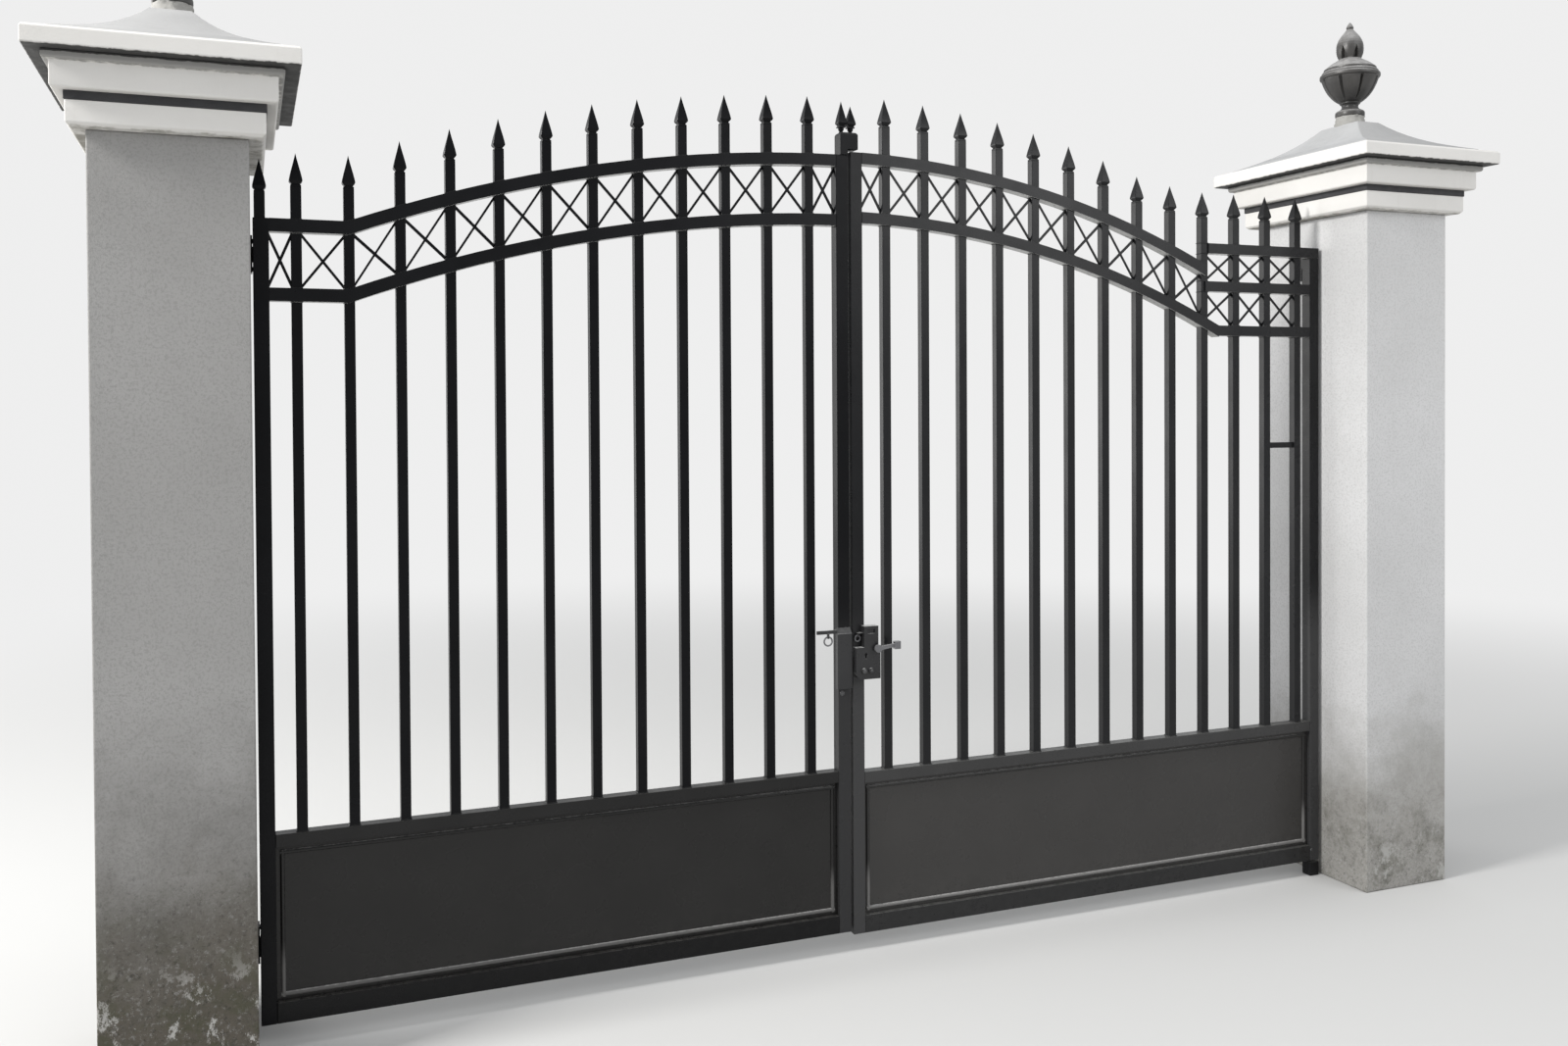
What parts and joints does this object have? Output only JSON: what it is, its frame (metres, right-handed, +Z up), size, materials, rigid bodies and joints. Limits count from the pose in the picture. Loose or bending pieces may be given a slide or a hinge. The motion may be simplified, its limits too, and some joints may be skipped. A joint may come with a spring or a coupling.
{
  "type": "double-leaf driveway gate with piers",
  "caption": "Arched double-leaf driveway gate of square steel tube with spear-topped pickets, crossed braces and kick panels, hung between rendered piers with urns.",
  "frame": {"origin": "middle of the left pier's foot, at ground level", "axes": "+Z up, +X along the gate from the left pier to the right one as seen from the street, +Y into the property"},
  "size_m": [4.128, 0.698, 2.806],
  "materials": {
    "iron": "satin charcoal paint",
    "panel": "satin charcoal paint, a little browner",
    "render": "matt grey render, weathered at the foot",
    "cornice": "matt cream paint on render",
    "band": "matt dark grey paint",
    "cap": "matt grey render",
    "urn": "matt dark grey cast stone"
  },
  "bodies": {
    "piers": {"left_pier_shaft": "render", "left_cornice": "cornice", "left_dark_band": "band", "left_cap_slab": "cornice", "left_pyramid_cap": "cap", "left_urn": "urn", "right_pier_shaft": "render", "right_cornice": "cornice", "right_dark_band": "band", "right_cap_slab": "cornice", "right_pyramid_cap": "cap", "right_urn": "urn", "left_hinge_brackets": "iron", "right_hinge_brackets": "iron", "right_foot_post": "iron"},
    "left_leaf": {"left_hinge_stile": "iron", "left_meeting_stile": "iron", "left_upper_rail": "iron", "left_lower_rail": "iron", "left_panel_rails": "panel", "left_pickets": "iron", "left_spears": "iron", "left_cross_braces": "iron", "left_kick_panel": "panel", "left_beading": "panel", "left_hinge_knuckles": "iron", "meeting_block": "iron", "keeper_box": "iron", "left_pull_ring": "iron"},
    "right_leaf": {"right_hinge_stile": "iron", "right_meeting_stile": "iron", "right_upper_rail": "iron", "right_lower_rail": "iron", "right_end_rails": "iron", "right_panel_rails": "panel", "right_pickets": "iron", "right_tie_bar": "iron", "right_spears": "iron", "right_cross_braces": "iron", "right_kick_panel": "panel", "right_beading": "panel", "right_hinge_knuckles": "iron", "lock_case": "iron", "right_pull_ring": "iron"},
    "lever": {"lever_handle": "iron"}
  },
  "joints": [
    {"name": "left_leaf_hinge", "type": "hinge", "parent": "piers", "child": "left_leaf", "pos_m": [0.1865, 0.003, 0.3], "axis": [0, 0, 1], "range_deg": [0, 90]},
    {"name": "right_leaf_hinge", "type": "hinge", "parent": "piers", "child": "right_leaf", "pos_m": [3.3845, 0.003, 0.3], "axis": [0, 0, -1], "range_deg": [0, 90]},
    {"name": "lever_turn", "type": "hinge", "parent": "right_leaf", "child": "lever", "pos_m": [1.7945, -0.073, 0.86], "axis": [0, 1, 0], "range_deg": [0, 40]}
  ]
}
